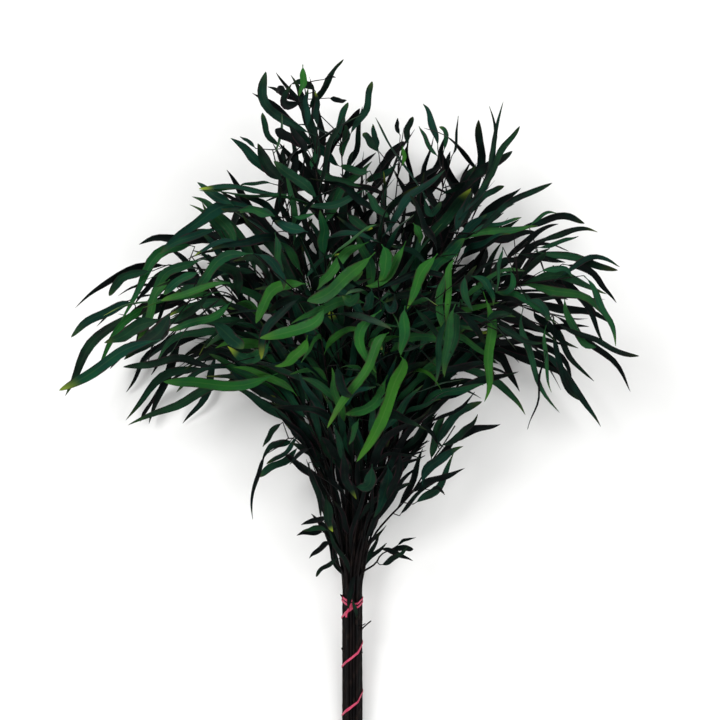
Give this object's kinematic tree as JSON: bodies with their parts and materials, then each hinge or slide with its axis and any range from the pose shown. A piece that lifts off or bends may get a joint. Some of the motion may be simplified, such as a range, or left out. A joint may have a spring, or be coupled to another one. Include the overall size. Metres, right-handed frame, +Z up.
{
  "type": "bunch of dried eucalyptus",
  "caption": "Bunch of preserved willow-leaf eucalyptus, lying down: bare stems tied into a handle with pink string, under a wide drooping crown of long narrow leaves.",
  "frame": {"origin": "on the surface that the bunch lies on, under the middle of its bounding box", "axes": "+Y from the cut ends to the top of the crown, +X to the right wing seen from above, +Z up from the surface"},
  "size_m": [0.7458, 0.927, 0.3056],
  "materials": {
    "leaf": "satin, dyed dark green with lighter front leaves and a few yellow-green tips",
    "bark": "matte dark purple-brown twig bark",
    "string": "soft pink flat binding string with fine lengthwise fibres"
  },
  "bodies": {
    "root": {"branch_left_wing_1": "leaf", "branch_left_wing_2": "leaf", "branch_left_wing_3": "leaf", "branch_left_wing_4": "leaf", "branch_left_wing_5": "leaf", "branch_left_wing_6": "leaf", "branch_left_wing_7": "leaf", "branch_right_wing_1": "leaf", "branch_right_wing_2": "leaf", "branch_right_wing_3": "leaf", "branch_right_wing_4": "leaf", "branch_right_wing_5": "leaf", "branch_right_wing_6": "leaf", "branch_right_wing_7": "leaf", "branch_right_wing_8": "leaf", "branch_crown_left_1": "leaf", "branch_crown_left_2": "leaf", "branch_crown_left_3": "leaf", "branch_crown_left_4": "leaf", "branch_crown_left_5": "leaf", "branch_crown_left_6": "leaf", "branch_crown_middle_1": "leaf", "branch_crown_middle_2": "leaf", "branch_crown_middle_3": "leaf", "branch_crown_middle_4": "leaf", "branch_crown_middle_5": "leaf", "branch_crown_middle_6": "leaf", "branch_crown_right_1": "leaf", "branch_crown_right_2": "leaf", "branch_crown_right_3": "leaf", "branch_front_drape_1": "leaf", "branch_front_drape_2": "leaf", "branch_front_drape_3": "leaf", "branch_low_sprig_left": "leaf", "branch_low_sprig_right": "leaf", "branch_neck_sprig_left": "leaf", "branch_neck_sprig_right": "leaf", "tie_string": "string"}
  },
  "joints": []
}
